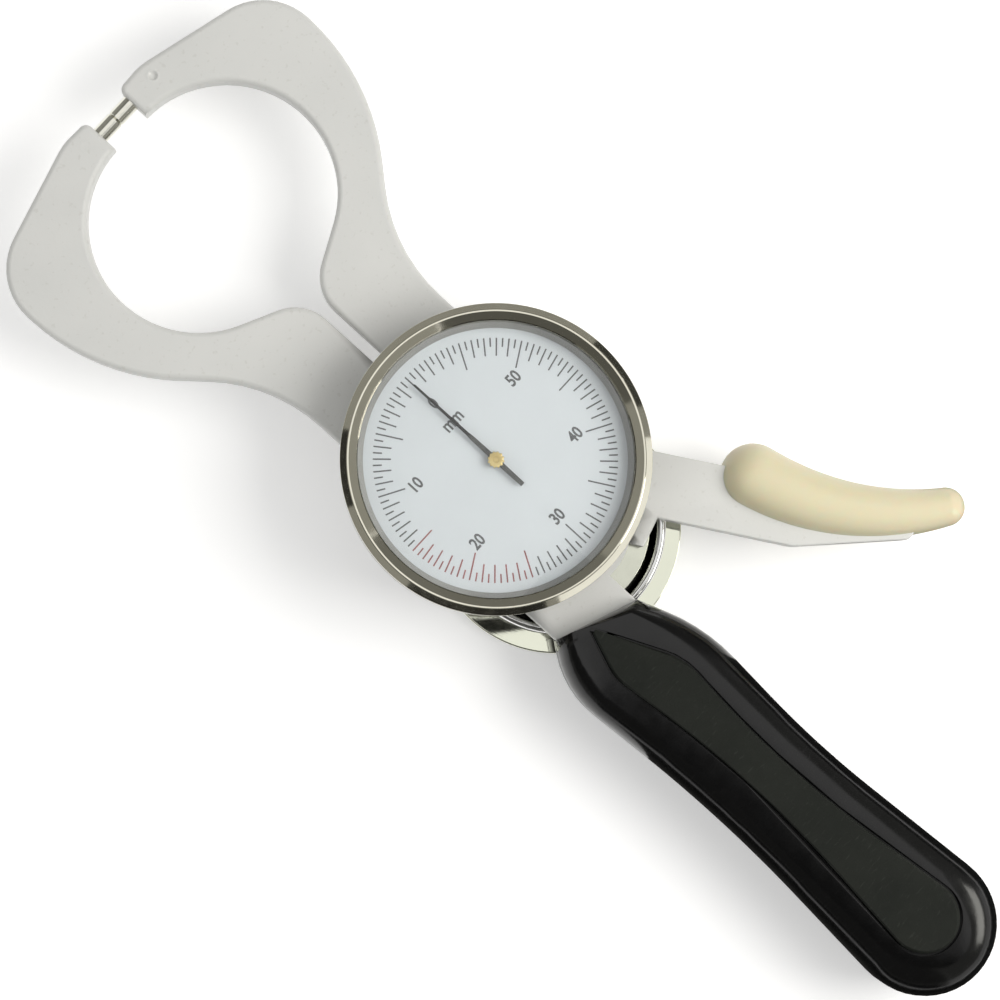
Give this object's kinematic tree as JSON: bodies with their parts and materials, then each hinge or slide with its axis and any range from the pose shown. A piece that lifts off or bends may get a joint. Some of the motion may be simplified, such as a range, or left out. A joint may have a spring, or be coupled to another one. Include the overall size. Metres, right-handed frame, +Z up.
{
  "type": "skinfold caliper",
  "caption": "Hand-held dial caliper with two curved jaws on a sprung pivot, contact tips, a finger lever, a moulded handle and a round geared gauge.",
  "frame": {"origin": "on the axis of the jaws' pivot, in the plane of the pressure knob's underside", "axes": "+Z up along the pivot towards the dial's face, +Y from the pivot towards the contact tips, +X towards the moving jaw"},
  "size_m": [0.0985, 0.2416, 0.034],
  "materials": {
    "cast_arm": "satin pale grey paint",
    "tip_steel": "polished",
    "small_steel": "turned",
    "dark_steel": "blued spring steel",
    "brass": "turned",
    "spring_steel": "drawn and plated wire",
    "plated_disc": "polished plating",
    "nickel_case": "satin nickel",
    "black_shell": "smooth, half gloss",
    "panel_grey": "fine matt texture",
    "cream_grip": "smooth satin",
    "window": "clear",
    "dial_white": "satin white",
    "ring_grey": "satin grey",
    "pointer_black": "satin black",
    "gasket": "black"
  },
  "bodies": {
    "fixed_body": {"fixed_arm": "cast_arm", "fixed_tip": "tip_steel", "fixed_tip_screw": "cast_arm", "pivot_shaft": "small_steel", "shaft_clip": "dark_steel", "sector_clip": "dark_steel", "knob_washer": "small_steel", "knob_nut": "small_steel", "handle_front_shell": "black_shell", "handle_back_shell": "black_shell", "handle_panel": "panel_grey", "handle_screws": "small_steel", "gauge_case": "nickel_case", "case_screws": "small_steel", "arbor_bearing": "brass", "bridge_pillars": "brass", "bridge": "brass", "bridge_screws": "small_steel", "hairspring": "dark_steel", "hairspring_stud": "brass", "bezel_snap_ring": "dark_steel"},
    "moving_body": {"moving_arm": "cast_arm", "moving_tip": "tip_steel", "moving_tip_screw": "cast_arm", "lever_grip": "cream_grip", "grip_pins": "small_steel", "pivot_bushing": "brass", "drive_pin": "small_steel", "spring_seat": "plated_disc", "seat_screws": "small_steel", "torsion_spring": "spring_steel", "sector_gear": "brass"},
    "pointer_body": {"pinion_arbor": "small_steel", "hairspring_collet": "brass", "pointer": "pointer_black", "pointer_hub": "brass"},
    "dial_body": {"bezel": "nickel_case", "crystal": "window", "crystal_gasket": "gasket", "dial_plate": "dial_white", "dial_ring": "ring_grey"},
    "knob_body": {"pressure_knob": "plated_disc"}
  },
  "joints": [
    {"name": "jaw_pivot", "type": "hinge", "parent": "fixed_body", "child": "moving_body", "pos_m": [0, 0, 0.016], "axis": [0, 0, 1], "range_deg": [-29.27, 0], "stiffness_Nm_per_rad": 0.25, "springref_deg": 53.29, "deforming": ["torsion_spring"]},
    {"name": "pointer_turn", "type": "hinge", "parent": "fixed_body", "child": "pointer_body", "pos_m": [0, 0.018, 0.0295], "axis": [0, 0, 1], "range_deg": [0, 360.5]},
    {"name": "dial_turn", "type": "hinge", "parent": "fixed_body", "child": "dial_body", "pos_m": [0, 0.018, 0.03], "axis": [0, 0, 1], "continuous": true},
    {"name": "knob_turn", "type": "hinge", "parent": "fixed_body", "child": "knob_body", "pos_m": [0, 0, 0.002], "axis": [0, 0, 1], "range_deg": [-90, 90], "deforming": ["torsion_spring"]}
  ],
  "couplings": [
    {"joint": "pointer_turn", "follows": "jaw_pivot", "ratio": -12.3}
  ]
}
